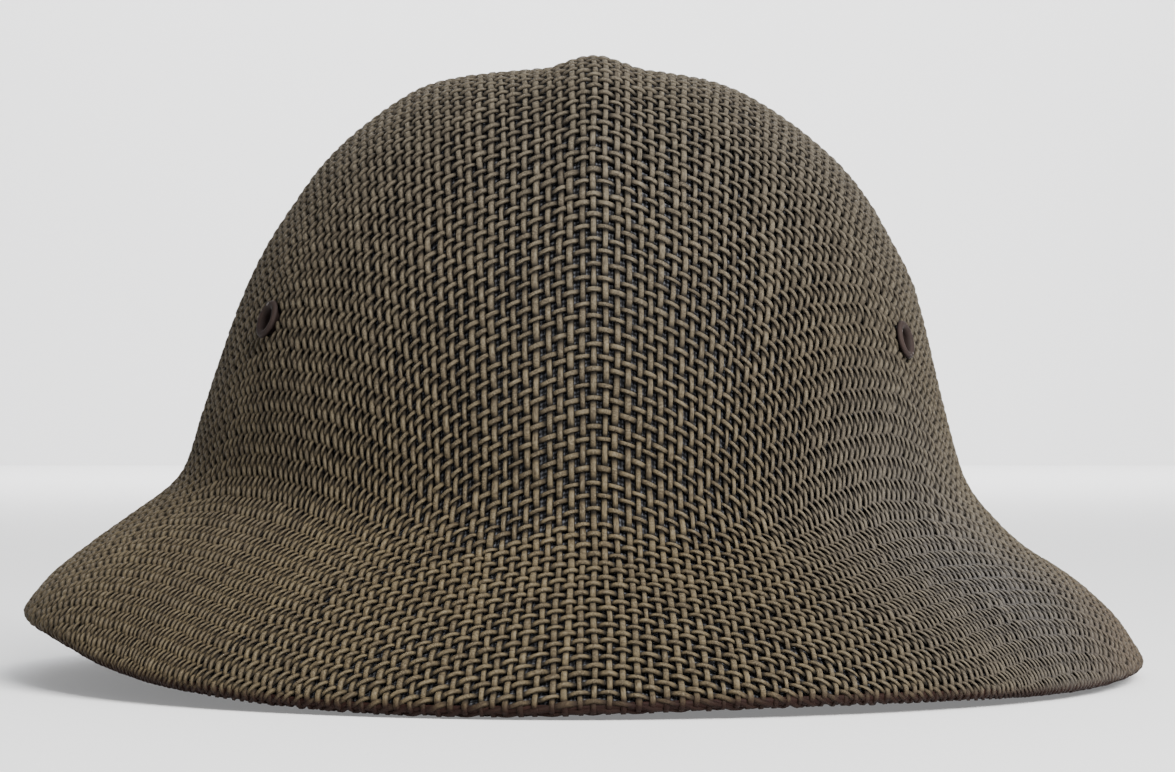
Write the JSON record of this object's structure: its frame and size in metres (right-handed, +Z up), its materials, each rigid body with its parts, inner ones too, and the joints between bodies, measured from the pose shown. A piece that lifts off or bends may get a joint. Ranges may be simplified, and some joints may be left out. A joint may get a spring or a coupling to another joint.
{
  "type": "pith helmet",
  "caption": "Olive-brown pith helmet of pressed woven fibre cloth: domed crown with a front-to-back ridge, sloping brim with a turned hem, and a small brown vent eyelet on each side.",
  "frame": {"origin": "on the floor that the rim rests on, under the middle of the rim's width and length", "axes": "+Z up through the crown, +Y towards the back of the helmet, -Y towards the front, +X towards the right side as seen by someone who faces the front of the helmet"},
  "size_m": [0.2516, 0.318, 0.1378],
  "materials": {
    "woven_fibre": "coarse plain weave of dull twisted fibre cord, olive brown",
    "under_cloth": "finer dark blue-grey woven cloth, matt",
    "eyelet_brown": "dark brown enamel, a little worn"
  },
  "bodies": {
    "root": {"outer_shell": "woven_fibre", "under_layer": "under_cloth", "eyelet_left": "eyelet_brown", "eyelet_right": "eyelet_brown"}
  },
  "joints": []
}
